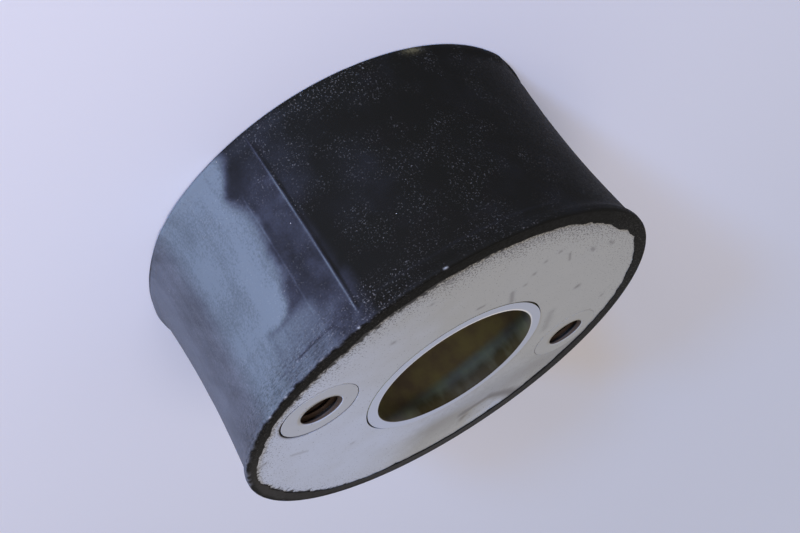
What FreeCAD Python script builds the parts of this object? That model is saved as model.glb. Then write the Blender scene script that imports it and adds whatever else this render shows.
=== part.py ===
import FreeCAD, Part
import math
import os

# Ring-shaped rubber mount, bonded between two steel plates, with a steel sleeve through its bore.
# It stands on its lower end: Z is up and the origin is at the centre of the lower end face.
# The threaded inserts of each plate lie on the X axis. All sizes are in millimetres.

# Whole mount
mount_height = 47.0            # from the lower rubber rim to the upper one
rim_radius = 50.0              # outside of the two rubber rims, the widest place

# Rubber body
rim_cover = 2.0                # rubber round the edge of a plate, measured along the radius
rim_band = 1.2                 # height of a rim that keeps the full radius
rim_edge_chamfer = 0.45        # break of the outer edge of each end face
rim_height = 2.4               # from an end face to the foot of the flare behind its rim
rim_step = 0.7                 # how far the flank lies inside the rims at the foot of the flare
waist_hollow = 0.95            # bow of the flank between the feet of the two flares
parting_count = 2              # seams left by the two halves of the mould
parting_angle = -36.4          # first seam, turned from the X axis, in degrees
parting_width = 0.8            # width of the ridge along a seam
parting_height = 0.35          # how far the ridge stands out at half height

# Plates
plate_thickness = 5.0
plate_recess = 0.2             # each plate lies this far inside the rims and the sleeve's ends

# Sleeve
bore_radius = 19.5
sleeve_wall = 2.5
sleeve_gap = 0.4               # free ring between the sleeve and the bore of a plate
sleeve_mouth_chamfer = 0.3     # inner edge of each end

# Threaded inserts, M10 by 1.5
insert_count = 2               # in each plate
insert_neck_radius = 8.5       # the round face seen in the plate
insert_gap = 0.25              # free ring between the neck and its hole in the plate
insert_land = 2.75             # plate left between that hole and the edge of the plate
insert_step = 0.85             # how far the body behind the plate stands out beyond the neck
insert_length = 16.0
thread_core_radius = 4.25      # core hole that the thread is cut into
thread_depth = 12.5
thread_mouth_chamfer = 0.4

# Sizes that follow from the ones above
plate_radius = rim_radius - rim_cover
plate_outer_z = mount_height - plate_recess
plate_inner_z = plate_outer_z - plate_thickness
sleeve_radius = bore_radius + sleeve_wall
plate_bore_radius = sleeve_radius + sleeve_gap
insert_hole_radius = insert_neck_radius + insert_gap
insert_circle_radius = plate_radius - insert_land - insert_hole_radius
insert_body_radius = insert_neck_radius + insert_step
flank_foot_radius = rim_radius - rim_step
waist_radius = flank_foot_radius - waist_hollow
mid_height = mount_height / 2

up = FreeCAD.Vector(0, 0, 1)
centre = FreeCAD.Vector(0, 0, 0)


def at(radius, height):
    # Point of a half section, in the XZ plane.
    return FreeCAD.Vector(radius, 0, height)


def line(start, end):
    return Part.LineSegment(start, end).toShape()


def flank_arc(middle_radius):
    # Arc of a half section between the feet of the two flares, through a radius at half height.
    low = at(flank_foot_radius, rim_height)
    high = at(flank_foot_radius, mount_height - rim_height)
    return Part.Arc(low, at(middle_radius, mid_height), high).toShape()


def turned(edges, degrees=360.0):
    # Solid swept by a closed half section about the Z axis.
    section = Part.Face(Part.Wire(Part.__sortEdges__(edges)))
    return section.revolve(centre, up, degrees)


def path(points):
    # Straight edges from point to point of a half section.
    edges = []
    for start, end in zip(points, points[1:]):
        edges.append(line(start, end))
    return edges


def polygon(points):
    # Straight edges round a closed half section.
    return path(points + points[:1])


def upside_down(shape):
    # The same piece at the other end of the mount, turned over about the X axis at half height.
    copy = shape.copy()
    copy.rotate(at(0, mid_height), FreeCAD.Vector(1, 0, 0), 180)
    return copy


def around(shape, count, first_degrees=0.0):
    # Copies spread evenly about the Z axis.
    copies = []
    for index in range(count):
        copy = shape.copy()
        copy.rotate(centre, up, first_degrees + index * 360.0 / count)
        copies.append(copy)
    return copies


def upper_rim():
    # From the sleeve under the upper plate, up beside its edge, over the rim and down its flare.
    top = mount_height
    chamfer = rim_edge_chamfer
    return path([
        at(sleeve_radius, plate_inner_z),
        at(plate_radius, plate_inner_z),
        at(plate_radius, top),
        at(rim_radius - chamfer, top),
        at(rim_radius, top - chamfer),
        at(rim_radius, top - rim_band),
        at(flank_foot_radius, top - rim_height),
    ])


def mirrored(edges):
    # The same edges of a half section, mirrored to the lower half of the mount.
    copies = []
    for edge in edges:
        copies.append(edge.mirror(at(0, mid_height), up))
    return copies


def parting_ridge():
    # Low ridge where the halves of the mould met, fading out towards both rims.
    root_radius = waist_radius - parting_height
    root = path([
        at(flank_foot_radius, mount_height - rim_height),
        at(root_radius, mount_height - rim_height),
        at(root_radius, rim_height),
        at(flank_foot_radius, rim_height),
    ])
    spread = math.degrees(parting_width / waist_radius)
    ridge = turned([flank_arc(waist_radius + parting_height)] + root, spread)
    ridge.rotate(centre, up, -spread / 2)
    return ridge


def rubber_body(inserts):
    # Waisted ring that wraps the edges of both plates, moulded round the inserts and the sleeve.
    upper = upper_rim()
    bonded_bore = line(at(sleeve_radius, plate_inner_z), at(sleeve_radius, mount_height - plate_inner_z))
    body = turned(upper + mirrored(upper) + [flank_arc(waist_radius), bonded_bore])
    body = body.fuse(around(parting_ridge(), parting_count, parting_angle))
    return body.removeSplitter().cut(inserts)


def insert_outline():
    # Outside of an insert, as a half section about its own axis, its seen face in the plate's face.
    end = plate_outer_z - insert_length
    return [
        at(0, plate_outer_z),
        at(insert_neck_radius, plate_outer_z),
        at(insert_neck_radius, plate_inner_z),
        at(insert_body_radius, plate_inner_z),
        at(insert_body_radius, end),
        at(0, end),
    ]


def core_hole():
    # Blind hole for the thread, with a chamfered mouth and a flat floor.
    mouth = thread_core_radius + thread_mouth_chamfer
    floor = plate_outer_z - thread_depth
    return turned(polygon([
        at(0, plate_outer_z),
        at(mouth, plate_outer_z),
        at(thread_core_radius, plate_outer_z - thread_mouth_chamfer),
        at(thread_core_radius, floor),
        at(0, floor),
    ]))


def placed_inserts(shape):
    # One shape about the Z axis, carried to every insert's place in the upper plate.
    seated = shape.copy()
    seated.translate(FreeCAD.Vector(insert_circle_radius, 0, 0))
    return around(seated, insert_count)


def plate():
    # Stamped disc with a bore and a hole for each insert.
    foot = at(0, plate_inner_z)
    disc = Part.makeCylinder(plate_radius, plate_thickness, foot, up)
    bore = Part.makeCylinder(plate_bore_radius, plate_thickness, foot, up)
    hole = Part.makeCylinder(insert_hole_radius, plate_thickness, foot, up)
    return disc.cut([bore] + placed_inserts(hole))


def sleeve():
    # Tube through the bore, its ends in one plane with the rims.
    chamfer = sleeve_mouth_chamfer
    return turned(polygon([
        at(bore_radius, chamfer),
        at(bore_radius, mount_height - chamfer),
        at(bore_radius + chamfer, mount_height),
        at(sleeve_radius, mount_height),
        at(sleeve_radius, 0),
        at(bore_radius + chamfer, 0),
    ]))


def build():
    outsides = placed_inserts(turned(polygon(insert_outline())))
    insert_envelopes = outsides + [upside_down(shape) for shape in outsides]
    threaded = turned(polygon(insert_outline())).cut(core_hole())
    upper_inserts = placed_inserts(threaded)
    upper_plate = plate()
    nodes = {
        "rubber_body": rubber_body(insert_envelopes),
        "top_plate": upper_plate,
        "bottom_plate": upside_down(upper_plate),
        "bore_sleeve": sleeve(),
    }
    for number, insert in enumerate(upper_inserts, start=1):
        nodes[f"top_insert_{number}"] = insert
        nodes[f"bottom_insert_{number}"] = upside_down(insert)
    return nodes


os.makedirs("parts", exist_ok=True)
for name, shape in build().items():
    shape.exportStep(f"parts/{name}.step")
    print(name, len(shape.Solids), "solid", round(shape.Volume / 1000, 2), "cm3", shape.isValid())
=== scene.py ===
import bpy
import math
import numpy as np
from mathutils import Matrix, Vector


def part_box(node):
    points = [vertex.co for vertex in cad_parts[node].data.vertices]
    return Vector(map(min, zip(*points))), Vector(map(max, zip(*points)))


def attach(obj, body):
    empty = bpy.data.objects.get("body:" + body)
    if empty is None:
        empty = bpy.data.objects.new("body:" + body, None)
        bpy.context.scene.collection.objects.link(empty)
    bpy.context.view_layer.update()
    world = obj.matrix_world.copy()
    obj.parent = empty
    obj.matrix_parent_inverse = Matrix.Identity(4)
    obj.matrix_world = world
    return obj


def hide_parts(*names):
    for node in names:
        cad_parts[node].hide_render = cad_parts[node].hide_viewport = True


# Ring-shaped rubber vibration mount, standing on its lower end. Sizes here are in millimetres,
# worked out from the frame, and every mesh is turned to metres when it is made.

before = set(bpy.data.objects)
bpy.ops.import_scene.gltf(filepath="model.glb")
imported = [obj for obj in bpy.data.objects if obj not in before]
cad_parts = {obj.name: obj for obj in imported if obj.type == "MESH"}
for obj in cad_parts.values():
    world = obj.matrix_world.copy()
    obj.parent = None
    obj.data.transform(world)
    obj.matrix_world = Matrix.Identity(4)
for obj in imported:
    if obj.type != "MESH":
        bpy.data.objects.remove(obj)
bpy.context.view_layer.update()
mm = 0.001
fullTurn = 2 * math.pi


def nodeBox(node):
    # Lowest and highest corner of a node, in millimetres.
    low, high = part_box(node)
    return np.array(low) / mm, np.array(high) / mm


_, rubberHigh = nodeBox("rubber_body")
plateLow, plateHigh = nodeBox("top_plate")
_, sleeveHigh = nodeBox("bore_sleeve")
insertLow, insertHigh = nodeBox("top_insert_1")

rimRadius = rubberHigh[1]
mountHeight = rubberHigh[2]
midHeight = mountHeight / 2
plateRadius = plateHigh[1]
plateFace = plateHigh[2]
plateBack = plateLow[2]
sleeveRadius = sleeveHigh[1]
insertCentre = (insertLow[0] + insertHigh[0]) / 2
insertBodyRadius = (insertHigh[0] - insertLow[0]) / 2
insertEnd = insertLow[2]


# Surfaces worked out on a grid

def smooth(value, low, high):
    # Soft step: 0 below low, 1 above high, 3t^2 - 2t^3 between them. It may run either way.
    share = np.clip((value - low) / (high - low), 0, 1)
    return share * share * (3 - 2 * share)


def bump(value, middle, width):
    # Bell of height 1 about a middle value: exp(-(distance / width)^2).
    return np.exp(-((value - middle) / width) ** 2)


def degreesApart(angle, middle):
    # Signed turn from a middle angle, in degrees, between -180 and 180.
    return (angle - middle + 180) % 360 - 180


def latticeNoise(across, along, cellsAcross, seed):
    # Random values from -1 to 1 at whole-number points, eased between them by 3t^2 - 2t^3 on both axes.
    # The first axis wraps after cellsAcross cells, so that a pattern closes round the axis.
    rows = int(np.max(along)) + 3
    values = np.random.default_rng(seed).uniform(-1, 1, (cellsAcross, rows))
    i = np.floor(across).astype(int)
    j = np.floor(along).astype(int)
    u = across - i
    v = along - j
    u = u * u * (3 - 2 * u)
    v = v * v * (3 - 2 * v)
    a = values[i % cellsAcross, j]
    b = values[(i + 1) % cellsAcross, j]
    c = values[i % cellsAcross, j + 1]
    d = values[(i + 1) % cellsAcross, j + 1]
    return a * (1 - u) * (1 - v) + b * u * (1 - v) + c * (1 - u) * v + d * u * v


def roundNoise(angle, height, cell, seed, octaves=3):
    # Lattice noise over a flank: angle in degrees, height in mm, cells of about that many mm. Each further
    # octave has half the cell and half the weight, and the sum is brought back to about -1 to 1.
    total = 0
    for octave in range(octaves):
        size = cell / 2 ** octave
        cells = max(3, round(fullTurn * rimRadius / size))
        wave = latticeNoise((angle % 360) / 360 * cells, (height + 20) / size, cells, seed + octave)
        total = total + wave / 2 ** octave
    return total / 1.6


def spread(parts):
    # Joins straight runs (start, end, count), each without its last value, into one row of values.
    return np.concatenate([np.linspace(a, b, count, endpoint=False) for a, b, count in parts])


def tableValue(table, place):
    # A table's value at each place: straight between its keys, level beyond them.
    return np.interp(place, list(table.keys()), list(table.values()))


def addObject(name, data):
    # A new object of the scene.
    item = bpy.data.objects.new(name, data)
    bpy.context.scene.collection.objects.link(item)
    return item


def addPiece(name, points, quads, material, fans=np.empty((0, 3), int)):
    # One mesh object at the origin from points in mm, with quads and any triangles at its poles. Where the
    # sum of first . (second x third) over the quads is negative they face inwards, and all are turned round.
    first, second, third = (points[quads[:, k]] for k in range(3))
    if (first * np.cross(second, third)).sum() < 0:
        quads = quads[:, ::-1]
        fans = fans[:, ::-1]
    mesh = bpy.data.meshes.new(name)
    mesh.from_pydata(points * mm, [], quads.tolist() + fans.tolist())
    mesh.update()
    mesh.shade_smooth()
    mesh.materials.append(material)
    return addObject(name, mesh)


def gridFaces(rows, columns, closed):
    # Four-cornered faces of a grid that wraps along its columns, and along its rows too where closed.
    i = np.arange(rows if closed else rows - 1)[:, None]
    j = np.arange(columns)[None, :]
    below = (i + 1) % rows
    right = (j + 1) % columns
    corners = [i * columns + j, below * columns + j, below * columns + right, i * columns + right]
    return np.stack(corners, axis=-1).reshape(-1, 4)


def carried(radius, height, angles, centre=(0, 0)):
    # Section carried round an upright axis at centre: (x, y) is centre + radius (cos angle, sin angle).
    x = centre[0] + radius * np.cos(angles)
    y = centre[1] + radius * np.sin(angles)
    return np.stack([x, y, height + 0 * x], axis=-1).reshape(-1, 3)


def ringPiece(name, radius, height, angles, material):
    # Closed section carried round the Z axis.
    return addPiece(name, carried(radius, height, angles), gridFaces(*radius.shape, closed=True), material)


def evenGrid(radius, height, columns):
    # Radius and height of a section at even angles round the Z axis, those angles, and the angle of each
    # point in degrees.
    angles = np.linspace(0, fullTurn, columns, endpoint=False)
    r = radius[:, None] + 0 * angles[None, :]
    return r, height[:, None] + 0 * r, angles, np.degrees(angles)[None, :] + 0 * r


def cappedPiece(name, radius, height, angles, centre, material):
    # Open section carried round an upright axis at centre. Fans of triangles close its end rows, each to
    # one point on the axis.
    columns = len(angles)
    body = carried(radius, height, angles, centre)
    poles = np.array([[*centre, height[0, 0]], [*centre, height[-1, 0]]])
    j = np.arange(columns)
    right = (j + 1) % columns
    end = (len(height) - 1) * columns
    pole = np.full(columns, len(body))
    fans = np.concatenate([np.stack([pole, j, right], axis=-1),
                           np.stack([pole + 1, end + right, end + j], axis=-1)])
    quads = gridFaces(len(height), columns, closed=False)
    return addPiece(name, np.concatenate([body, poles]), quads, material, fans)


def cutBy(piece, cutters):
    # Takes closed shapes out of a piece for good, and removes the shapes.
    for cutter in cutters:
        step = piece.modifiers.new("cut", "BOOLEAN")
        step.operation = "DIFFERENCE"
        step.solver = "EXACT"
        step.object = cutter
    solved = piece.evaluated_get(bpy.context.evaluated_depsgraph_get())
    cut = bpy.data.meshes.new_from_object(solved)
    piece.modifiers.clear()
    old = piece.data
    piece.data = cut
    cut.name = piece.name
    bpy.data.meshes.remove(old)
    for cutter in cutters:
        bpy.data.objects.remove(cutter)


def meshPoints(mesh):
    # Points of a mesh in mm, one row each.
    flat = np.zeros(len(mesh.vertices) * 3, np.float32)
    mesh.vertices.foreach_get("co", flat)
    return flat.reshape(-1, 3) / mm


def paint(piece, layer, formula):
    # Writes one number per point of a piece, from its angle in degrees, radius and height in mm.
    place = meshPoints(piece.data)
    angle = np.degrees(np.arctan2(place[:, 1], place[:, 0]))
    values = formula(angle, np.hypot(place[:, 0], place[:, 1]), place[:, 2])
    spot = piece.data.attributes.new(layer, "FLOAT", "POINT")
    spot.data.foreach_set("value", values.astype(np.float32))


# Materials

def colour(code):
    # sRGB hex to linear red, green, blue and full alpha.
    parts = [int(code[k:k + 2], 16) / 255 for k in (1, 3, 5)]
    return tuple(c / 12.92 if c <= 0.04045 else ((c + 0.055) / 1.055) ** 2.4 for c in parts) + (1.0,)


def addNode(tree, kind, settings=None, inputs=None, out=0):
    # Adds a node, sets its properties, gives each input a fixed value or a link, and returns one output.
    node = tree.nodes.new(kind)
    for key, value in (settings or {}).items():
        setattr(node, key, value)
    for key, value in (inputs or {}).items():
        if isinstance(value, bpy.types.NodeSocket):
            tree.links.new(value, node.inputs[key])
        else:
            node.inputs[key].default_value = value
    return node.outputs[out] if node.outputs else node


def newMaterial(name, *layers):
    # An empty node material, its tree, its object coordinates in millimetres and its painted layers.
    material = bpy.data.materials.new(name)
    material.use_nodes = True
    tree = material.node_tree
    tree.nodes.clear()
    place = addNode(tree, "ShaderNodeTexCoord", out=3)
    place = addNode(tree, "ShaderNodeVectorMath", {"operation": "SCALE"}, {0: place, "Scale": 1 / mm})
    painted = [addNode(tree, "ShaderNodeAttribute", {"attribute_name": layer}, out=2) for layer in layers]
    return material, tree, place, painted


def cloud(tree, place, size, low, high, detail):
    # Noise with features of about that many mm, stretched so that low becomes 0 and high becomes 1.
    noise = addNode(tree, "ShaderNodeTexNoise", {}, {"Vector": place, "Scale": 1 / size, "Detail": detail})
    return addNode(tree, "ShaderNodeMapRange", {}, {0: noise, 1: low, 2: high})


def gathered(tree, place, layer, size, low, high, detail, weight):
    # Grains that gather where a painted layer is strong: noise plus the layer times its weight, stretched
    # so that low becomes 0 and high becomes 1.
    noise = addNode(tree, "ShaderNodeTexNoise", {}, {"Vector": place, "Scale": 1 / size, "Detail": detail})
    lifted = addNode(tree, "ShaderNodeMath", {"operation": "MULTIPLY_ADD"}, {0: layer, 1: weight, 2: noise})
    return addNode(tree, "ShaderNodeMapRange", {}, {0: lifted, 1: low, 2: high})


def specks(tree, place, spacing, share, radius):
    # Dots of up to that radius in mm, in a share of cells that many mm apart: 1 in a dot, 0 outside.
    cells = addNode(tree, "ShaderNodeTexVoronoi", {}, {"Vector": place, "Scale": 1 / spacing}).node.outputs
    pick = addNode(tree, "ShaderNodeSeparateColor", {}, {0: cells["Color"]}).node.outputs
    chosen = addNode(tree, "ShaderNodeMath", {"operation": "LESS_THAN"}, {0: pick[0], 1: share})
    reach = radius / spacing
    size = addNode(tree, "ShaderNodeMapRange", {}, {0: pick[1], 3: 0.3 * reach, 4: reach})
    inside = addNode(tree, "ShaderNodeMath", {"operation": "LESS_THAN"}, {0: cells["Distance"], 1: size})
    return addNode(tree, "ShaderNodeMath", {"operation": "MULTIPLY"}, {0: chosen, 1: inside})


def relief(tree, place, size, depth, strength, detail):
    # Normals of a grainy skin: grains of about that many mm, and that many mm deep.
    noise = addNode(tree, "ShaderNodeTexNoise", {}, {"Vector": place, "Scale": 1 / size, "Detail": detail})
    return addNode(tree, "ShaderNodeBump", {},
                   {"Height": noise, "Distance": depth * mm, "Strength": strength})


def finishMaterial(tree, place, look, base, grain, inputs):
    # The surface shader, with its fixed numbers on its own sockets. Its roughness runs between the look's
    # two values as the grain runs from 0 to 1.
    low, high = look["roughness"]
    inputs = {
        "Base Color": base,
        "Roughness": addNode(tree, "ShaderNodeMapRange", {}, {0: grain, 3: low, 4: high}),
        "Specular IOR Level": look["specular"],
        "Normal": relief(tree, place, *look["skin"]),
        **inputs,
    }
    shader = addNode(tree, "ShaderNodeBsdfPrincipled", {}, inputs)
    addNode(tree, "ShaderNodeOutputMaterial", {}, {"Surface": shader})


def coated(tree, base, coats):
    # Lays coats over a base one after another: each has its colour, as a hex code or an output, and the
    # factors whose product is its share.
    base = colour(base) if isinstance(base, str) else base
    for shade, share, *factors in coats:
        for factor in factors:
            share = addNode(tree, "ShaderNodeMath", {"operation": "MULTIPLY"}, {0: share, 1: factor})
        shade = colour(shade) if isinstance(shade, str) else shade
        base = addNode(tree, "ShaderNodeMix", {"data_type": "RGBA"}, {0: share, 6: base, 7: shade}, out=2)
    return base


rubberLook = {
    "black": "#12100b",            # carbon-filled rubber, almost without colour
    "bloom": "#585b58",            # pale film of wax that has come out of the rubber, with a painted reflection of the window on it
    "thinBloom": "#4d4c52",        # the same film and painted reflection where they are thin
    "oldBloom": "#585654",         # the same film and painted reflection where they have aged
    "olive": "#6b6040",            # old stain at the far rim
    # dust, and the painted sheen and edge highlight that share its colour
    "dust": "#b3a999",
    "scoured": "#d8d0c0",          # rubber scuffed pale together with the plate, and painted glints on the near rim's edge
    # Clouds: size in mm, the values of the noise that become 0 and 1, and its detail
    "mottling": (0.45, 0.3, 0.7, 6.0),
    "streaks": (1.6, 0.3, 0.7, 4.0),
    "streakRun": 6.0,              # how much further they run than they are wide
    "creases": (1.0, 0.5, 0.6, 5.0),
    "creaseSqueeze": 3.0,          # how much flatter they are than wide
    "powder": (0.35, 0.58, 0.76, 5.0),      # dust in the pores
    "patches": (7.0, 0.45, 0.65, 3.0),      # where small specks lie
    # Specks: mm between cells, share of cells with a speck, largest radius in mm
    "brightSpecks": (4.0, 0.2, 0.17),
    "smallSpecks": (1.1, 0.4, 0.15),
    # Relief of the moulded skin: grain and depth in mm, strength and detail
    "skin": (0.6, 0.05, 0.5, 6.0),
    "roughness": (0.42, 0.62),
    "specular": 0.02,
}


def mouldedRubber():
    # Natural rubber, press-moulded: near black and dull, with a bluish bloom that has a cloudy edge and
    # carries a painted reflection of the window, pale dust in its pores, a painted sheen where the flank
    # turns away, painted highlights and glints on the near rim's edge, and fine creases. It gives the eye a
    # soft dark skin, greyed where it bloomed and where the reflection is painted.
    look = rubberLook
    material, tree, place, painted = newMaterial(
        "pressMouldedRubber", "bloom", "aged", "dust", "stain", "scoured", "flank")
    bloom, aged, dust, stain, scoured, flank = painted
    tall = addNode(tree, "ShaderNodeVectorMath", {"operation": "MULTIPLY"},
                   {0: place, 1: (1.0, 1.0, 1 / look["streakRun"])})
    squeezed = addNode(tree, "ShaderNodeVectorMath", {"operation": "MULTIPLY"},
                       {0: place, 1: (1.0, 1.0, look["creaseSqueeze"])})
    streak = cloud(tree, tall, *look["streaks"])
    grain = cloud(tree, place, *look["mottling"])
    crease = cloud(tree, squeezed, *look["creases"])
    crease = addNode(tree, "ShaderNodeMath", {"operation": "MULTIPLY"}, {0: crease, 1: dust})
    powder = cloud(tree, place, *look["powder"])
    patch = cloud(tree, place, *look["patches"])
    bright = specks(tree, place, *look["brightSpecks"])
    small = specks(tree, place, *look["smallSpecks"])
    thick = addNode(tree, "ShaderNodeMapRange", {}, {0: bloom, 1: 0.2, 2: 0.75})
    film = coated(tree, look["thinBloom"], [(look["bloom"], thick), (look["oldBloom"], aged)])
    streaked = addNode(tree, "ShaderNodeMapRange", {}, {0: streak, 3: 0.9, 4: 1.1})
    mottled = addNode(tree, "ShaderNodeMapRange", {}, {0: grain, 3: 0.8, 4: 1.2})
    creased = addNode(tree, "ShaderNodeMapRange", {}, {0: crease, 3: 1.0, 4: 0.35})
    # Coats: the bloom with its painted reflection, the stain, then dust with painted sheen and highlights,
    # specks, and scuffs with painted glints
    base = coated(tree, look["black"], [
        (film, bloom, streaked, mottled, creased),
        (look["olive"], stain, grain),
        (look["dust"], powder, dust, 0.3),
        (look["dust"], bright, flank, 0.75),
        (look["dust"], small, patch, flank, 0.12),
        (look["dust"], powder, patch, flank, 0.14),
        (look["scoured"], scoured),
    ])
    finishMaterial(tree, place, look, base, grain, {})
    return material


plateLook = {
    "steel": "#c1c5cb",
    # painted shade, warmer and darker, across one side, and yellowish tarnish
    "tarnish": "#adaa9d",
    "grain": "#56514c",            # brown-black grains of rubber left on the steel
    "residue": "#25211d",          # thin ragged skin of rubber beside the flash
    # dark marks and scratches, and painted shadow and shade
    "mark": "#6b6660",
    "mottle": (7.0, 0.25, 0.75, 4.0),       # clouds, specks and relief are given as for the rubber
    "grains": (0.4, 0.66, 0.73, 4.0, 0.2),  # as a cloud, and the weight of their painted layer
    "rags": (1.5, 1.12, 1.24, 8.0, 1.0),    # of the skin
    "skin": (0.35, 0.03, 0.3, 5.0),
    "roughness": (0.5, 0.62),
    "specular": 0.5,
    "metallic": 0.35,              # dulled by oxide
}


def scouredPlate():
    # Rolled steel plate, its moulding flash scoured off: pale, dull and faintly cloudy, with brown-black
    # grains left near the rim and short dark scratches. A painted shade warms and darkens it across one side,
    # and painted shadows lie by the dished mark, round the inserts and on the walls of its holes. It gives
    # the eye a bright, soft-edged disc.
    look = plateLook
    material, tree, place, painted = newMaterial("scouredRolledSteel", "tarnish", "grime", "mark", "residue")
    tarnish, grime, mark, residue = painted
    mottle = cloud(tree, place, *look["mottle"])
    tone = addNode(tree, "ShaderNodeMath", {"operation": "MULTIPLY_ADD"}, {0: mottle, 1: 0.25, 2: tarnish})
    grain = gathered(tree, place, grime, *look["grains"])
    rags = gathered(tree, place, residue, *look["rags"])
    base = coated(tree, look["steel"], [
        (look["tarnish"], tone),
        (look["grain"], grain, 0.85),
        (look["mark"], mark, 0.95),
        (look["residue"], rags),
    ])
    finishMaterial(tree, place, look, base, mottle, {"Metallic": look["metallic"]})
    return material


sleeveLook = {
    "edge": "#f6efdc",             # painted highlight on the inner edge
    "film": "#6c6746",             # old oil, thin
    "rust": "#595041",
    "oil": "#271e0b",              # painted shade just inside the mouth, on the side that faces the light
    "mottle": (6.0, 0.35, 0.65, 4.0),
    "runs": (3.0, 0.35, 0.65, 3.0),         # streaks down the wall in the painted shade
    "runSqueeze": 0.4,             # their width as a share of their length
    "skin": (0.5, 0.04, 0.3, 4.0),
    "roughness": (0.5, 0.62),
    "specular": 0.05,
}


def oiledTube():
    # Drawn steel tube: its end is bare and pale with a painted highlight on its inner edge, and its wall has
    # an olive film of old oil with rust in it. A painted shade darkens the first millimetres of the mouth on
    # the side that faces the light, and the film on its outside is a painted shade. It gives the eye a pale
    # ring round a dark, uneven bore.
    look = sleeveLook
    material, tree, place, painted = newMaterial("drawnSteelTube", "wall", "edge", "oil", "tarnish")
    wall, edge, oil, tarnish = painted
    mottle = cloud(tree, place, *look["mottle"])
    run = addNode(tree, "ShaderNodeVectorMath", {"operation": "MULTIPLY"},
                  {0: place, 1: (1.0, 1.0, look["runSqueeze"])})
    run = cloud(tree, run, *look["runs"])
    run = addNode(tree, "ShaderNodeMapRange", {}, {0: run, 3: 0.9, 4: 1.08})
    film = coated(tree, look["film"], [(look["rust"], mottle), (look["oil"], oil, run)])
    base = coated(tree, plateLook["steel"], [
        (plateLook["tarnish"], tarnish),
        (look["edge"], edge),
        (film, wall),
    ])
    bare = addNode(tree, "ShaderNodeMapRange", {}, {0: wall, 3: plateLook["metallic"], 4: 0.0})
    finishMaterial(tree, place, look, base, mottle, {"Metallic": bare})
    return material


insertLook = {
    "thread": "#382b20",           # old oil and rust in the thread
    "mottle": (3.0, 0.3, 0.7, 4.0),
    "spots": (1.0, 0.35, 0.16),
    "skin": (0.3, 0.03, 0.3, 4.0),
    "roughness": (0.5, 0.62),
    "specular": 0.15,
}


def turnedSteel():
    # Turned free-cutting steel: a satin face with a few brown spots, and threads dark with old oil and rust.
    # It gives the eye a clean round washer-like face with a brown hole.
    look = insertLook
    material, tree, place, painted = newMaterial("turnedSteel", "hole", "tarnish")
    hole, tarnish = painted
    mottle = cloud(tree, place, *look["mottle"])
    base = coated(tree, plateLook["steel"], [
        (plateLook["tarnish"], tarnish),
        (plateLook["grain"], specks(tree, place, *look["spots"]), 0.6),
        (look["thread"], hole),
    ])
    bare = addNode(tree, "ShaderNodeMapRange", {}, {0: hole, 3: plateLook["metallic"], 4: 0.0})
    finishMaterial(tree, place, look, base, mottle, {"Metallic": bare})
    return material


# Rubber body

rubberShape = {
    "columns": 560,
    "rimRound": 0.6,               # outer edge of each end
    "rimBand": 0.9,                # height of a rim that keeps the full radius
    "rimHeight": 2.4,              # from an end to the foot of the flare
    "footRadius": 49.3,
    "waistRadius": 48.35,
    "flareLow": 3.2,               # width of the bell that flares each rim
    "flareHigh": 1.2,
    "seamAngle": -36.0,            # first of two opposite seams, degrees from the X axis
    "seamWidth": 0.22,
    "seamHeight": 0.28,
    "grooveDepth": 0.12,           # beside each seam
    "secondLine": -27.6,           # fainter line beside the seam, degrees
    "secondHeight": 0.08,
    "beltHeight": 43.0,            # wavy line round the flank below the upper rim
    "beltRelief": 0.012,
    "waveDepth": 0.05,             # broad waves of the skin, and the ripples on them
    "rippleDepth": 0.025,
    "lipHeight": 0.13,             # thickness of the flash that laps over a plate
    "chipDepth": 0.5,              # chips of the rims' edges
}

# How far the lower rim stands off its circle in mm, by angle in degrees. It is pressed in at both limbs of
# the view.
farRimTable = {
    -142: 0, -135: -0.3, -130: -0.6, -125: -0.85, -120: -0.85, -115: -0.45, -112: 0,
    -24: 0, -13: 0.3, -9: 0.35, -7: 0.15, -3: 0.3, 2: 0.05, 6: -0.35, 11: -0.6, 16: -0.55, 21: -0.4,
    26: -0.45, 32: 0,
}

# Reach of the flash over the upper plate in mm, by angle in degrees from the X axis.
lipTable = {
    -180: 2.3, -165: 1.6, -150: 1.5, -135: 1.0, -121: 1.4, -115: 2.3, -110: 1.9, -90: 1.7, -75: 2.0, -60: 2.0,
    -45: 1.9, -34: 1.6, -27: 2.2, -20: 1.5, -10: 1.2, 0: 0.8, 12: 0.7, 20: 0.45, 30: 0.3, 38: 0.9, 50: 1.5,
    62: 1.8, 75: 1.3, 90: 1.8, 100: 2.6, 115: 2.5, 130: 2.9, 150: 3.0, 168: 2.9, 180: 2.3,
}


def seamSpacing(columns):
    # Angles round the axis, up to eight times closer together near the two seams and four times near the
    # fainter line: equal steps of the running total of a density with a bell at each.
    raw = np.linspace(-180, 180, 20001)
    density = 1 + 7 * bump(degreesApart(raw, rubberShape["seamAngle"]), 0, 1.4)
    density += 7 * bump(degreesApart(raw, rubberShape["seamAngle"] + 180), 0, 1.4)
    density += 3 * bump(degreesApart(raw, rubberShape["secondLine"]), 0, 1.2)
    total = np.concatenate([[0], np.cumsum((density[1:] + density[:-1]) / 2)])
    steps = np.linspace(0, total[-1], columns, endpoint=False)
    return np.interp(steps, total, raw)


def flankRadius(height):
    # Waist: a parabola through the feet of the flares, its vertex at half height. A bell of the distance
    # from each end, level along the rim's band, lifts it to the rim's radius.
    s = rubberShape
    share = (height - midHeight) / (midHeight - s["rimHeight"])
    waist = s["waistRadius"] + (s["footRadius"] - s["waistRadius"]) * share ** 2
    end = np.minimum(height, mountHeight - height)
    flare = np.where(height < midHeight, s["flareLow"], s["flareHigh"])
    return waist + (rimRadius - waist) * bump(np.maximum(end, s["rimBand"]), s["rimBand"], flare)


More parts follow.
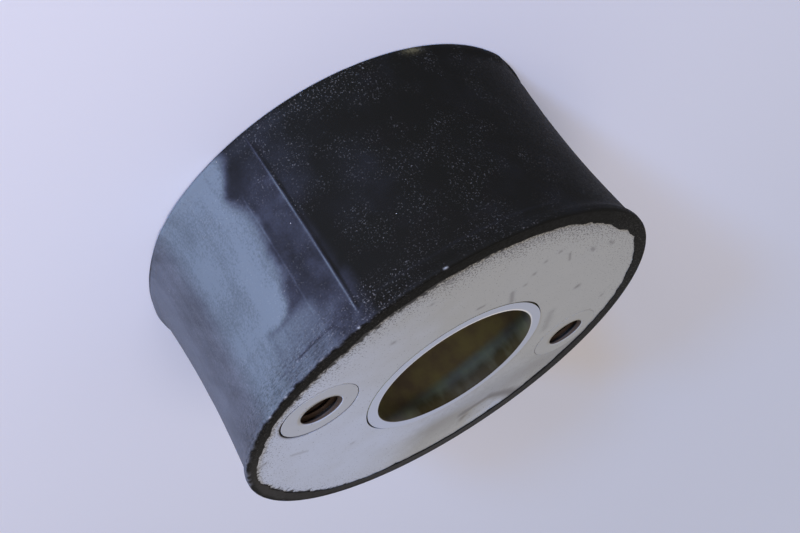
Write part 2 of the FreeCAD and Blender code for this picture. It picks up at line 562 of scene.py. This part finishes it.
def lipReach(angle, seed):
    # How far the flash laps inwards over a plate: the table's reach, ragged noise and sharper tongues.
    ragged = roundNoise(angle, 0 * angle, 3.2, seed, 4)
    tongues = np.clip(roundNoise(angle, 0 * angle + 9, 2.0, seed + 9, 3) - 0.2, 0, 1)
    return np.clip(tableValue(lipTable, degreesApart(angle, 0)) + 0.45 * ragged + 0.8 * tongues, 0.12, 3.6)


def halfSection():
    # Rows of the section from the middle of the bore up round the plate's nest, over the flash and the rim
    # and down to the middle of the flank. Each part has its radii, its heights, its shares of the flash's
    # reach and its shares of the outer skin.
    s = rubberShape
    face = plateFace + 0.02        # clear of the plate
    lipTop = face + s["lipHeight"]
    edge = rimRadius - s["rimRound"]
    below = mountHeight - s["rimRound"]
    turn = np.linspace(90, 0, 9) * math.pi / 180
    flank = spread([(below - 0.1, 42.5, 13), (42.5, 40, 6), (40, midHeight, 27)])
    nest = (
        spread([(sleeveRadius, sleeveRadius, 2), (sleeveRadius, plateRadius, 3),
                (plateRadius, plateRadius, 7)]),
        spread([(midHeight, plateBack, 2), (plateBack, plateBack, 3), (plateBack, face, 3), (face, face, 4)]),
        spread([(0, 0, 8), (0, 1, 4)]), 0)
    tip = (np.full(3, plateRadius), np.linspace(face, lipTop, 3), np.array([1, 1.02, 1]), 0)
    top = (
        spread([(plateRadius + 0.2, plateRadius + 0.4, 5), (plateRadius + 0.4, edge, 4)]),
        spread([(lipTop, mountHeight, 5), (mountHeight, mountHeight, 4)]),
        spread([(0.9, 0, 5), (0, 0, 4)]), 0)
    corner = (
        edge + s["rimRound"] * np.cos(turn),
        below + s["rimRound"] * np.sin(turn), 0 * turn, 1 - np.sin(turn))
    outside = (flankRadius(flank), flank, 0 * flank, 1)
    parts = (nest, tip, top, corner, outside)
    return [np.concatenate([part[k] + 0 * part[0] for part in parts]) for k in range(4)]


def rubberSkin(material):
    # The half section and its mirror image make a closed section, carried round the axis. The flash reaches
    # in by lipReach. The outer skin is pushed out by seams and waves, in by grooves and chips, and at the
    # lower rim by farRimTable.
    s = rubberShape
    degrees = seamSpacing(s["columns"])
    radius, height, share, skin = halfSection()
    rows = len(height)
    lower = slice(rows - 1, 0, -1)
    radius = np.concatenate([radius, radius[lower]])
    height = np.concatenate([height, mountHeight - height[lower]])
    share = np.concatenate([share, share[lower]])[:, None]
    skin = np.concatenate([skin, skin[lower]])[:, None]
    upper = np.arange(len(height))[:, None] < rows
    angle = degrees[None, :] + 0 * radius[:, None]
    z = height[:, None] + 0 * angle
    r = radius[:, None] - share * np.where(upper, lipReach(degrees, 11), lipReach(degrees + 143, 31))
    ends = np.minimum(z, mountHeight - z)
    fade = smooth(ends, 0.8, 4)
    push = s["waveDepth"] * roundNoise(angle, z, 14, 3) + s["rippleDepth"] * roundNoise(angle, z, 3, 5)
    for first in (s["seamAngle"], s["seamAngle"] + 180):
        away = degreesApart(angle, first) * math.pi / 180 * s["waistRadius"]
        push += s["seamHeight"] * bump(away, 0, s["seamWidth"]) * fade
        push -= s["grooveDepth"] * bump(away, -0.6, 0.25) * fade
    away = degreesApart(angle, s["secondLine"]) * math.pi / 180 * s["waistRadius"]
    push += s["secondHeight"] * bump(away, 0, 0.3) * fade * smooth(z, 8, 12)
    belt = s["beltHeight"] + 0.1 * roundNoise(angle, 0 * z, 8, 17)
    push += s["beltRelief"] * bump(z, belt, 0.25) * smooth(angle, -100, -84)
    chips = np.clip(roundNoise(angle, 0 * z, 4, 8) - 0.35, 0, 1)
    push -= s["chipDepth"] * chips * smooth(ends, 1.6, 0.3)
    bend = tableValue(farRimTable, angle) * smooth(z, 5, 1)
    push = np.minimum(push + bend, rimRadius - r + np.maximum(bend, 0))
    return ringPiece("moulded_rubber_ring", r + skin * push, z, np.radians(degrees)[None, :], material)


def pocketCutters(material):
    # Space of the four insert bodies behind the plates.
    around = np.linspace(0, fullTurn, 96, endpoint=False)
    cutters = []
    for side in (1, -1):
        for upper in (True, False):
            ends = np.array([plateBack + 1, insertEnd])
            ends = ends if upper else mountHeight - ends
            cutters.append(cappedPiece("pocketCutter", insertBodyRadius + 0 * ends[:, None] + 0 * around,
                                       ends[:, None], around, (side * insertCentre, 0), material))
    return cutters


# The main patch of bloom with its painted reflection: its left edge and the half width of that edge's fading
# in degrees, by height in mm.
bloomEdge = {0: -29, 2: -28, 5: -26.5, 8: -24.3, 11: -25.5, 14: -27, 18: -27, 29: -25.5, 35: -22, 37: -20}
bloomFade = {0: 3.0, 8: 2.4, 14: 4.0, 30: 3.6, 36: 2.4}

# Strength of the main patch, and of the belt of bloom above it, by angle in degrees. Its rise past 15 degrees
# is a painted reflection at the limb.
bloomStrength = {-30: 0.9, -24: 0.92, -21: 1.0, -17: 0.95, -14: 0.9, -5: 0.92, -1: 0.76, 4: 0.66, 10: 0.78,
                 15: 0.95, 22: 1.2, 40: 1.4, 70: 0.5, 100: 0}
beltStrength = {-40: 0, -36: 0.22, -32: 0.32, -28: 0.47, -24: 0.62, -20: 0.7, -16: 0.7, -8: 0.74, -3: 0.68}


def bloomLayer(angle, radius, height):
    # Share of bloom, with a painted reflection of the window in it, on the flank: the strongest of a main
    # patch from a wandering left edge to past the right limb, a belt above it, a weak film as far as the seam
    # and a faint one past it. Clouds and wiped streaks vary it, the seams add a painted shade and highlight,
    # the wavy line interrupts it, and a torn edge ends it at the upper rim.
    s = rubberShape
    wander = 1.2 * roundNoise(angle, height, 9, 21, 4)
    nibble = wander + 0.8 * roundNoise(angle, height, 2.4, 22, 3)
    right = smooth(angle, 105, 60)

    # Main patch, with three stronger spots near its left edge
    edge = tableValue(bloomEdge, height)
    fade = tableValue(bloomFade, height)
    strength = tableValue(bloomStrength, angle)
    core = 0.16 * bump(angle + 0.6 * wander, -19.2, 2.2) * smooth(height, 15, 20) * smooth(height, 36, 33)
    core += 0.1 * bump(angle + 0.6 * wander, -25, 1.3) * smooth(height, 9, 13) * smooth(height, 30, 25)
    core += 0.5 * bump(angle, -19, 1.6) * bump(height, 1.0, 1.0)
    main = smooth(angle + nibble, edge - fade, edge + fade) * smooth(height + wander, 38.5, 34)

    # What lies round it
    belt = tableValue(beltStrength, angle) * smooth(height + wander, 33.5, 37.5) * right
    weak = 0.19 * smooth(angle, -37, -35.6) * smooth(height, -4, 16) * right
    faint = 0.07 * smooth(angle + 2 * nibble, -47, -39) * smooth(height + wander, 21, 15)
    faint = np.maximum(faint, 0.07 * smooth(angle + wander, -39, -36)) * right
    scuff = 0.03 * bump(angle + wander, -53.5, 5) * bump(height + wander, 21, 6)
    high = strength * (angle > -14) * smooth(height + wander, 30, 36)
    level = np.maximum.reduce([main * (strength + core), belt, 0.9 * high, weak, faint, scuff])

    # Clouds, streaks that lean over towards the right, and a thinner spot
    slant = roundNoise(angle + 1.2 * height, height / 4, 3, 27, 3)
    upright = roundNoise(angle, height / 4, 3, 26, 3)
    smear = upright + (slant - upright) * smooth(angle, -10, 0)
    level = level * (1 + 0.2 * roundNoise(angle, height, 9, 25, 3) + 0.15 * smear)
    level = level * (1 - 0.35 * bump(angle, -28.5, 3.5) * bump(height, 7.5, 3))

    # Seam, with a painted shade beside it and a painted highlight on it, a painted highlight on the line
    # beside it, and the wavy line round the flank
    worn = smooth(height, 1, 6) * smooth(height, 45, 42) * (0.75 + 0.5 * roundNoise(0 * angle, height, 5, 47))
    level = level * (1 - 0.95 * bump(angle, s["seamAngle"] - 0.6, 0.4) * worn)
    level = level + 0.6 * bump(angle, s["seamAngle"] + 0.1, 0.27) * worn
    level = level + 0.14 * bump(angle, s["secondLine"], 0.22) * smooth(height, 9, 13) * smooth(height, 40, 37)
    line = bump(height, s["beltHeight"] + 0.3 * roundNoise(angle, 0 * height, 8, 17), 0.25)
    dash = np.clip(roundNoise(angle, 0 * height, 2.5, 18) + 0.35, 0, 1)
    level = level * (1 - 0.7 * line * dash * smooth(angle, -38, -34) * smooth(angle, -6, -14))
    level = level + 0.02 * line * smooth(angle, -90, -84) * smooth(angle, -38, -44)

    # Faint clouds on the dark side, and mottling of the thin film
    clouds = np.clip(roundNoise(angle, height, 6, 29, 5), 0, 1)
    level = level + 0.02 * clouds * smooth(angle, -115, -95) * smooth(angle, -38, -48)
    mottling = 0.55 * roundNoise(angle, height, 2.4, 57, 4) + 0.25 * roundNoise(angle, height, 8, 58, 2)
    level = level * (1 + smooth(level, 0.5, 0.25) * mottling)

    # Torn edge at the upper rim
    torn = height + 0.45 * roundNoise(angle, height, 1.4, 44, 4)
    skin = smooth(radius + 0.3 * roundNoise(angle, height, 1.5, 43), 48.9, 49.3) * smooth(torn, 47.0, 46.6)
    skin = np.where(height < 46.2, 1, skin)
    return np.clip(level, 0, 1.4) * skin * (radius > plateRadius - 0.1) * smooth(height, 0.1, 0.6)


def agedLayer(angle, radius, height):
    # Where the bloom has turned from blue-grey to purple-grey.
    return smooth(angle, -6, 4)


def dustLayer(angle, radius, height):
    # Share of dust along the far rim and in a belt by the near rim, of a painted sheen on the flank that
    # turns away, and of a painted highlight in broken dashes along the near rim's edge.
    low = smooth(height + 2.0 * roundNoise(angle, height, 10, 51), 9, 1)
    # painted sheen on the flank that turns away
    away = 0.9 * smooth(angle, -101, -120)
    near = 0.55 * smooth(height, 38, 43) * smooth(angle, -60, -36) * smooth(angle, 30, 5)
    # painted highlight in broken dashes along the near rim's edge
    line = bump(height, 46.55, 0.2) * np.clip(2 * roundNoise(angle, 0 * height, 2.5, 19, 3) + 0.4, 0, 1)
    line = line * (radius > 49) * smooth(angle, -130, -110) * smooth(angle, 35, 20)
    return np.clip(0.6 * low * bump(degreesApart(angle, -53), 0, 14) + away + near + 0.7 * line, 0, 1)


def flankLayer(angle, radius, height):
    # 1 on the flank, 0 on the end faces.
    return smooth(np.minimum(height, mountHeight - height), 0.2, 0.8) * (radius > 46)


def stainLayer(angle, radius, height):
    # Olive spot at the lower rim.
    return 0.7 * bump(degreesApart(angle, -80.0), 0, 2.2) * bump(height, 0.9, 0.7)


# Painted glints on the near rim's outer edge: angle and half width in degrees.
rimNicks = [(-11.6, 0.3), (-4.5, 0.35), (-24.3, 0.3), (-34.5, 0.25), (-55.3, 0.25)]


def scouredLayer(angle, radius, height):
    # Where the upper rim is pale: its end face's inner half is faintly scuffed in two wide bells of angle,
    # and each painted glint is a bell of angle and height on its outer edge.
    share = 0.04 * bump(degreesApart(angle, 36), 0, 22) + 0.05 * bump(degreesApart(angle, 115), 0, 60)
    inner = smooth(radius + 0.5 * roundNoise(angle, radius, 3, 93), 49.6, 48.3)
    level = np.clip(share, 0, 1) * inner * smooth(height, mountHeight - 0.3, mountHeight - 0.05)
    for place, width in rimNicks:
        nick = bump(degreesApart(angle, place), 0, width) * bump(height, 46.75, 0.14) * (radius > 49.45)
        level = np.maximum(level, 0.35 * nick)
    return level * (radius > 46)


# Steel plates

plateShape = {
    "columns": 560,
    "edgeRound": 0.05,
    "freeRing": 0.4,               # between the sleeve and the bore of the CAD plate
    "boreGap": 0.02,               # what is left of that ring
    "crescentGap": 0.36,           # how much wider it is in its crescents
    "crescents": [(46, 22), (-120, 15)],    # middle and half width of each in degrees
    "waveDepth": 0.025,            # of the seen face
    "scoopCentre": (-28.3, 29.9),  # shallow dished mark near the rim
    "scoopRadius": 7.3,
    "scoopDepth": 0.2,
    "insertGaps": {1: 0.26, -1: 0.05},      # ring round each insert, by its side of the bore
    "insertShifts": {1: 0.22, -1: 0.03},    # how far its hole stands off the insert's middle
    "ringLines": {1: 0.5, -1: 0.15},        # strength of the dark line round it, with its painted shadow
}


def insertNeck():
    # Radius of an insert's neck, the part that stands in the plate.
    place = meshPoints(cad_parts["top_insert_1"].data)
    return float(np.max(np.abs(place[place[:, 2] > plateFace - 0.1][:, 1])))


neckRadius = insertNeck()


def plateSurface(upper, material, name):
    # Flat ring: a rectangular section with small rounds, carried round the axis. Its bore stands off the
    # sleeve by a gap that widens in bells of angle. The seen face is lowered by faint waves and, on the
    # upper plate, by a shallow bowl about the scoop's centre. Straight holes for the inserts are cut last.
    s = plateShape
    bore = sleeveRadius + s["freeRing"]
    e = s["edgeRound"]
    turn = np.linspace(0, math.pi / 2, 5)
    flat = np.concatenate([[bore + e + 0.05], np.linspace(bore + e, plateRadius - e, 86)[1:-1]])
    radius = np.concatenate([
        np.full(3, bore), bore + e - e * np.cos(turn), flat, plateRadius - e + e * np.sin(turn),
        np.full(3, plateRadius), np.linspace(plateRadius, bore, 9)[1:-1]])
    height = np.concatenate([
        np.linspace(plateBack, plateFace - e, 4)[:-1], plateFace - e + e * np.sin(turn), 0 * flat + plateFace,
        plateFace - e + e * np.cos(turn), np.linspace(plateFace - e, plateBack, 4)[1:],
        np.full(7, plateBack)])
    r, z, angles, degrees = evenGrid(radius, height, s["columns"])
    wider = sum(bump(degreesApart(degrees, middle), 0, width) for middle, width in s["crescents"])
    gap = s["boreGap"] + s["crescentGap"] * wider
    r = r - (s["freeRing"] - gap) * smooth(r, bore + 2, bore)
    face = smooth(z, plateFace - 0.4, plateFace)
    z = z - face * s["waveDepth"] * (1 + roundNoise(degrees, r, 12, 61 if upper else 67))
    levels = np.array([plateBack - 1, plateFace - 0.14, plateFace + 1])[:, None]
    if upper:
        away = np.hypot(r * np.cos(angles) - s["scoopCentre"][0], r * np.sin(angles) - s["scoopCentre"][1])
        z = z - face * s["scoopDepth"] * smooth(away / s["scoopRadius"], 1.0, 0.6) * smooth(r, 45.0, 42.0)
    else:
        z = mountHeight - z
        angles = -angles
        levels = mountHeight - levels
    plate = ringPiece(name, r, z, angles[None, :], material)
    around = np.linspace(0, fullTurn, 128, endpoint=False)
    holes = []
    for side in (1, -1):
        wall = neckRadius + s["insertGaps"][side] + 0 * levels + 0 * around
        centre = (side * insertCentre, s["insertShifts"][side])
        holes.append(cappedPiece("holeCutter", wall, levels, around, centre, material))
    cutBy(plate, holes)
    return plate


def flashDistance(angle, radius):
    # How far a point of a plate lies inside the edge of the flash.
    return np.clip(plateRadius - lipReach(angle, 11) - radius, 0, None)


def grimeLayer(angle, radius, height):
    # Crowding of the grains left by the scouring: a belt that thickens towards the rim, densest on the near
    # side, and a seam of them beside the flash, falling off by e in 2.2 mm.
    near = bump(degreesApart(angle, -78), 0, 52)
    belt = smooth(radius + 2.5 * roundNoise(angle, radius, 6, 81), 33, 47) * (0.2 + 0.8 * near)
    seam = np.exp(-flashDistance(angle, radius) / 2.2) * bump(degreesApart(angle, -30), 0, 75)
    return np.clip(0.1 + 0.75 * belt + 0.75 * seam, 0, 1)


def residueLayer(angle, radius, height):
    # Skin of rubber left beside the flash of the upper plate: e to the minus distance over 4.2 mm, strongest
    # by the near insert and a little less on the right of it.
    near = bump(degreesApart(angle, -35), 0, 42) + 0.6 * bump(degreesApart(angle, 60), 0, 30)
    share = 0.5 + 0.4 * np.clip(near, 0, 1)
    return np.exp(-flashDistance(angle, radius) / 4.2) * share * (height > midHeight)


def tarnishLayer(angle, radius, height):
    # A warmer, darker tone: painted shade in a soft step across the plate, and yellowish tarnish in a full
    # patch at the far edge.
    side = radius * np.cos(np.radians(angle - 52))
    patch = bump(degreesApart(angle, 118), 0, 24) * smooth(radius, 22, 34)
    return np.maximum(smooth(side + 4 * roundNoise(angle, radius, 16, 83), 30, -22), patch)


def sleeveTarnish(angle, radius, height):
    # The sleeve's end is rubbed cleaner than the plate, and takes 0.4 of its painted shade and tarnish.
    return 0.4 * tarnishLayer(angle, radius, height)


def insertTarnish(angle, radius, height):
    # The inserts are tarnished half way even where the plate isn't, and the plate's painted shade and tarnish
    # add the other half.
    return 0.5 + 0.5 * tarnishLayer(angle, radius, height)


# Dark spots on the upper plate: x, y, half width and strength.
plateSpots = [
    (-1.8, -28.0, 0.5, 0.65), (-1.8, -31.5, 0.5, 0.65), (-2.5, -35.0, 0.5, 0.65), (-5.0, -37.5, 0.5, 0.65),
    (-23.5, -21.5, 0.9, 0.78), (39.5, -15.8, 0.5, 0.65), (28.3, -19.3, 0.6, 0.65), (24.8, -29.8, 0.5, 0.65),
    (-38.5, -14.0, 0.6, 0.65), (-29.5, 16.0, 0.7, 0.455), (-22.0, 30.5, 2.0, 0.78), (17.6, 21.9, 0.6, 0.39),
    (-32.0, 7.1, 0.7, 0.39),
]

# Dark strokes on it: both ends (x, y, x, y), half width and strength. The last ones make dark marks beside
# the dished mark, a painted shadow along its near edge and a wide band of painted shade round it.
plateStrokes = [
    (-1.5, -22.6, 0.8, -26.2, 0.6, 0.585), (7.4, -24.0, 8.6, -23.4, 0.4, 0.65),
    (-11.0, -33.5, -9.0, -36.0, 0.35, 0.65), (-17.5, -35.0, -16.0, -36.0, 0.4, 0.65),
    (-23.2, -35.7, -21.0, -37.0, 0.4, 0.65), (-25.0, -5.5, -21.5, -13.0, 1.1, 0.364),
    (23.8, -36.5, 24.6, -36.2, 0.7, 0.52), (36.0, 17.0, 32.0, 17.6, 0.4, 0.39),
    (42.6, 16.6, 44.4, 18.8, 0.5, 0.585), (-19.0, 43.4, -10.0, 45.4, 1.4, 0.91),
    (-40.5, 27.0, -33.0, 23.9, 2.6, 0.91), (-33.0, 23.9, -26.0, 23.0, 2.5, 0.91),
    (-26.0, 23.0, -20.0, 28.0, 2.2, 0.91), (-41.5, 21.0, -39.6, 25.6, 2.0, 0.91),
    (-44.0, 8.0, -12.0, 30.0, 8.0, 0.429),
]


def markLayer(angle, radius, height):
    # Strongest of the marks at each point of the upper face: a bell of the distance to a spot or to the line
    # between a stroke's ends. The walls of the bore and the holes carry a painted shade, and a dark joint
    # line runs round each insert, wider and stronger on its far side as a painted shadow.
    x = radius * np.cos(np.radians(angle))
    y = radius * np.sin(np.radians(angle))
    rough = 1 + 0.35 * roundNoise(angle, radius, 1.6, 91)
    level = 0 * x
    for x0, y0, width, strength in plateSpots:
        level = np.maximum(level, strength * bump(np.hypot(x - x0, y - y0) * rough, 0, width))
    for x0, y0, x1, y1, width, strength in plateStrokes:
        run = np.array([x1 - x0, y1 - y0])
        share = np.clip(((x - x0) * run[0] + (y - y0) * run[1]) / (run @ run), 0, 1)
        away = np.hypot(x - x0 - share * run[0], y - y0 - share * run[1])
        level = np.maximum(level, strength * bump(away * rough, 0, width))
    depth = np.minimum(height, mountHeight - height)
    # painted shade on the walls of the bore and the holes
    wall = (np.hypot(np.abs(x) - insertCentre, y) < neckRadius + 0.6) | (radius < sleeveRadius + 0.6)
    level = np.maximum(np.clip(level, 0, 1) * (height > midHeight), wall * smooth(depth, 0.26, 0.31))
    # dark joint line round each insert, with a painted shadow on its far side
    for side, strength in plateShape["ringLines"].items():
        edge = neckRadius + plateShape["insertGaps"][side]
        away = np.hypot(x - side * insertCentre, y - plateShape["insertShifts"][side]) - edge
        line = bump(away, 0, 0.12 + 0.14 * smooth(y, -1, 3))
        level = np.maximum(level, strength * (1 + 0.6 * np.sign(y)) * line)
    return np.clip(level, 0, 1)


# Sleeve

sleeveShape = {
    "columns": 256,
    "boreRadius": 19.4,
    "outerRound": 0.03,
    "innerRound": 0.12,
    "endDrop": 0.12,               # each end lies this far inside the rims
    "wallWave": 0.03,              # of the bore
}


def sleeveTube(material):
    # Tube: a rectangular section with small rounds, carried round the axis. Its ends lie inside the rims,
    # and noise makes the wall of its bore slightly wavy.
    s = sleeveShape
    a = s["outerRound"]
    b = s["innerRound"]
    turn = np.linspace(0, math.pi / 2, 6)
    top = mountHeight - s["endDrop"]
    inner = s["boreRadius"] + b
    outer = sleeveRadius - a
    flat = np.linspace(inner + 0.05, outer - 0.05, 16)
    radius = np.concatenate([
        np.full(24, s["boreRadius"]), inner - b * np.cos(turn), flat, outer + a * np.sin(turn),
        np.full(2, sleeveRadius)])
    height = np.concatenate([
        np.linspace(midHeight, top - b, 24, endpoint=False), top - b + b * np.sin(turn), 0 * flat + top,
        top - a + a * np.cos(turn), [top - a - 0.05, midHeight + 1]])
    lower = slice(None, 0, -1)
    radius = np.concatenate([radius, radius[lower]])
    height = np.concatenate([height, mountHeight - height[lower]])
    r, z, angles, degrees = evenGrid(radius, height, s["columns"])
    r = r + smooth(r, 20.2, 19.6) * s["wallWave"] * roundNoise(degrees, z, 8, 71)
    return ringPiece("bore_sleeve_tube", r, z, angles[None, :], material)


def wallLayer(angle, radius, height):
    # 1 on the wall of the bore, further onto its edge on the far side, and on the outside, where the film is
    # a painted shade; 0 on the ends.
    far = bump(degreesApart(angle, 134), 0, 70)
    return np.maximum(smooth(radius - 0.3 * far, 19.5, 19.43), radius > sleeveRadius - 0.02)


def oilLayer(angle, radius, height):
    # Painted shade in the first millimetres of each mouth, in a bell of angle on the side that faces the
    # light.
    depth = np.minimum(height, mountHeight - height)
    return smooth(depth, 7.3, 2.2) * np.clip(1.5 * bump(degreesApart(angle, 140), 0, 65), 0, 1)


def edgeLayer(angle, radius, height):
    # Painted highlight on the inner edge, in a bell of angle on the near side.
    return smooth(radius, 19.95, 19.75) * bump(degreesApart(angle, -85), 0, 70)


# Threaded inserts

insertShape = {
    "columns": 72,
    "pitch": 1.5,                  # M10 thread
    "coreRadius": 4.25,
    "majorRadius": 5.0,
    "threadDepth": 12.5,
    "mouthRound": 0.1,
    "edgeRound": 0.04,
    "rowsPerTurn": 12,
}


def threadRadius(depth, turn):
    # Radius of the thread's wall: the crest stands at the core radius, the root at the major one. Along the
    # axis it is a triangle wave of the pitch, cut flat at both ends, that moves one pitch each turn.
    s = insertShape
    phase = (depth / s["pitch"] - turn) % 1
    wave = np.clip(1.25 * (1 - np.abs(2 * phase - 1)) - 0.12, 0, 1)
    fade = smooth(depth, s["threadDepth"], s["threadDepth"] - s["pitch"])
    return s["coreRadius"] + (s["majorRadius"] - s["coreRadius"]) * wave * fade


def insertBush(name, side, upper, material):
    # From the pole on the hole's floor up the thread, over the seen face, down the neck and the wider body
    # to the pole on the hidden end. The mouth is a cone from mouthRound outside the core down to the thread.
    s = insertShape
    top = plateFace
    body = insertBodyRadius
    e = s["edgeRound"]
    around = np.linspace(0, fullTurn, s["columns"], endpoint=False)
    turn = np.linspace(0, math.pi / 2, 5)
    depth = np.linspace(s["threadDepth"], 0.0, int(s["threadDepth"] / s["pitch"] * s["rowsPerTurn"]))[:, None]
    wall = np.maximum(threadRadius(depth, around / fullTurn), s["coreRadius"] + s["mouthRound"] - depth)
    face = np.append(np.linspace(s["majorRadius"] + 0.2, neckRadius - e - 0.05, 7), neckRadius - e)
    outside = np.concatenate([
        face, neckRadius - e + e * np.sin(turn)[1:], [neckRadius, body - e], body - e + e * np.sin(turn)[1:],
        np.full(3, body), body - e + e * np.cos(turn)[1:], [body / 2]])[:, None]
    level = np.concatenate([
        0 * face + top, top - e + e * np.cos(turn)[1:], [plateBack, plateBack],
        plateBack - e + e * np.cos(turn)[1:], np.linspace(plateBack - e, insertEnd + e, 5)[1:-1],
        insertEnd + e - e * np.sin(turn)[1:], [insertEnd]])[:, None]
    floor = np.linspace(0.5, s["coreRadius"] - 0.2, 3)[:, None]
    radius = np.concatenate([floor + 0 * around, wall, outside + 0 * around])
    height = np.concatenate([0 * floor + top - s["threadDepth"], top - depth, level])
    if not upper:
        height = mountHeight - height
        around = -around
    return cappedPiece(name, radius, height, around, (side * insertCentre, 0), material)


def holeLayer(side):
    # For the insert on that side: 1 in its threaded hole from just below the mouth, and on its outside.
    def formula(angle, radius, height):
        x = radius * np.cos(np.radians(angle)) - side * insertCentre
        y = radius * np.sin(np.radians(angle))
        away = np.hypot(x, y)
        depth = np.minimum(height, mountHeight - height) - (mountHeight - plateFace)
        inHole = (away < insertShape["majorRadius"] + 0.1) & (depth < insertShape["threadDepth"] + 0.5)
        outside = away > insertShape["majorRadius"] + 1
        return np.maximum(smooth(depth, 0.0, 0.08) * inHole, smooth(depth, 0.0, 0.04) * outside)
    return formula


def finishPiece(piece, node, slot, **layers):
    # Paints a piece's layers. It then takes the place of its node, at rest on the root. The slot argument is
    # not used.
    for layer, formula in layers.items():
        paint(piece, layer, formula)
    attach(piece, "root")
    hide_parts(node)


print("rubber")
ring = rubberSkin(mouldedRubber())
cutBy(ring, pocketCutters(ring.data.materials[0]))
finishPiece(ring, "rubber_body", "moulded_rubber", bloom=bloomLayer, aged=agedLayer, dust=dustLayer,
            stain=stainLayer, scoured=scouredLayer, flank=flankLayer)

print("plates")
plateSteel = scouredPlate()
for node, upper in (("top_plate", True), ("bottom_plate", False)):
    plate = plateSurface(upper, plateSteel, node + "_disc")
    finishPiece(plate, node, "plate_steel", grime=grimeLayer, tarnish=tarnishLayer, mark=markLayer,
                residue=residueLayer)

print("sleeve")
tube = sleeveTube(oiledTube())
finishPiece(tube, "bore_sleeve", "sleeve_steel", wall=wallLayer, edge=edgeLayer, oil=oilLayer,
            tarnish=sleeveTarnish)

print("inserts")
insertSteel = turnedSteel()
for node, side, upper in (("top_insert_1", 1, True), ("top_insert_2", -1, True),
                          ("bottom_insert_1", 1, False), ("bottom_insert_2", -1, False)):
    bush = insertBush(node + "_bush", side, upper, insertSteel)
    finishPiece(bush, node, "insert_steel", hole=holeLayer(side), tarnish=insertTarnish)


# Studio

studio = {
    "floor": "#e7e7e7",
    "floorHalf": 60.0,                     # m
    "sky": (0.26, 0.245, 0.238),           # soft fill from all round
    "seenSky": (0.62, 0.62, 0.66),         # what metal mirrors of it
    "lampColour": (0.8, 0.75, 1.0),        # small lamp close by, low and from the left of the view
    "lampPower": 4.6,                      # W
    "lampPlace": (0.497, -0.335, 0.095),   # m
    "lampSize": (0.15, 0.06),
    "windowColour": (0.1, 0.375, 1.0),     # blue daylight from the same side, through two panes
    "windowStrength": 2.95,
    "roomColour": (1.0, 0.89, 0.93),       # warm light of the room, from higher up
    "roomStrength": 1.14,
    "suns": (                              # kind, azimuth, elevation and apparent width, degrees
        ("window", -25.5, 7.2, 6.0),
        ("window", -42.0, 7.2, 6.0),
        ("room", -45.0, 55.0, 45.0),
    ),
}


def makeFloor():
    # One square, wide enough to fill the view.
    half = studio["floorHalf"]
    corners = [(-half, -half, 0), (half, -half, 0), (half, half, 0), (-half, half, 0)]
    mesh = bpy.data.meshes.new("studio_floor")
    mesh.from_pydata(corners, [], [(0, 1, 2, 3)])
    material, tree, *_ = newMaterial("paintedBoard")
    shader = addNode(tree, "ShaderNodeBsdfPrincipled", {}, {
        "Base Color": colour(studio["floor"]), "Roughness": 0.9, "Specular IOR Level": 0.2})
    addNode(tree, "ShaderNodeOutputMaterial", {}, {"Surface": shader})
    mesh.materials.append(material)
    floor = addObject("studio_floor", mesh)


def aimed(location, target):
    # Turned so that its own -Z axis points from its place to the target.
    return (Vector(target) - Vector(location)).to_track_quat("-Z", "Y").to_euler()


def addLamp(name, kind, tint, power, location):
    # A lamp aimed at the middle of the mount.
    data = bpy.data.lights.new(name, kind)
    data.energy = power
    data.color = tint
    lamp = addObject(name, data)
    lamp.location = location
    lamp.rotation_euler = aimed(location, (0, 0, midHeight * mm))
    return data


def makeLights():
    # Plain sky, with a brighter tone where the camera, metal or glass sees it, a close lamp and three suns.
    world = bpy.data.worlds.new("studio_sky")
    bpy.context.scene.world = world
    world.use_nodes = True
    tree = world.node_tree
    tree.nodes.clear()
    rays = addNode(tree, "ShaderNodeLightPath").node.outputs
    seen = addNode(tree, "ShaderNodeMath", {"operation": "MAXIMUM"},
                   {0: rays["Is Camera Ray"], 1: rays["Is Glossy Ray"]})
    seen = addNode(tree, "ShaderNodeMath", {"operation": "MAXIMUM"},
                   {0: seen, 1: rays["Is Transmission Ray"]})
    sky = coated(tree, studio["sky"] + (1.0,), [(studio["seenSky"] + (1.0,), seen)])
    backdrop = addNode(tree, "ShaderNodeBackground", {}, {"Color": sky})
    addNode(tree, "ShaderNodeOutputWorld", {}, {"Surface": backdrop})
    lamp = addLamp("close_lamp", "AREA", studio["lampColour"], studio["lampPower"], studio["lampPlace"])
    lamp.shape = "RECTANGLE"
    lamp.size, lamp.size_y = studio["lampSize"]
    for name, *turn in studio["suns"]:
        azimuth, elevation, width = (math.radians(v) for v in turn)
        place = (math.cos(elevation) * math.cos(azimuth), math.cos(elevation) * math.sin(azimuth),
                 math.sin(elevation) + midHeight * mm)
        sun = addLamp(name + "_light", "SUN", studio[name + "Colour"], studio[name + "Strength"], place)
        sun.angle = width


view = {
    "place": (143.961, -148.853, 112.491),   # mm
    "right": (-0.74908, -0.41658, 0.51512),
    "up": (-0.16363, -0.63712, -0.7532),
    "lens": 45.0,
}


def makeCamera():
    # The view is rolled, as the photographer held it: its axes are given by the right and up directions.
    data = bpy.data.cameras.new("camera")
    data.lens = view["lens"]
    data.sensor_width = 36.0
    data.clip_start = 0.01
    data.clip_end = 200.0
    camera = addObject("camera", data)
    right = Vector(view["right"]).normalized()
    up = Vector(view["up"])
    up = (up - right * up.dot(right)).normalized()
    turn = Matrix((right, up, right.cross(up))).transposed()
    camera.matrix_world = Matrix.Translation(Vector(view["place"]) * mm) @ turn.to_4x4()
    bpy.context.scene.camera = camera


print("studio")
makeFloor()
makeLights()
makeCamera()
bpy.context.scene.view_settings.view_transform = "Standard"
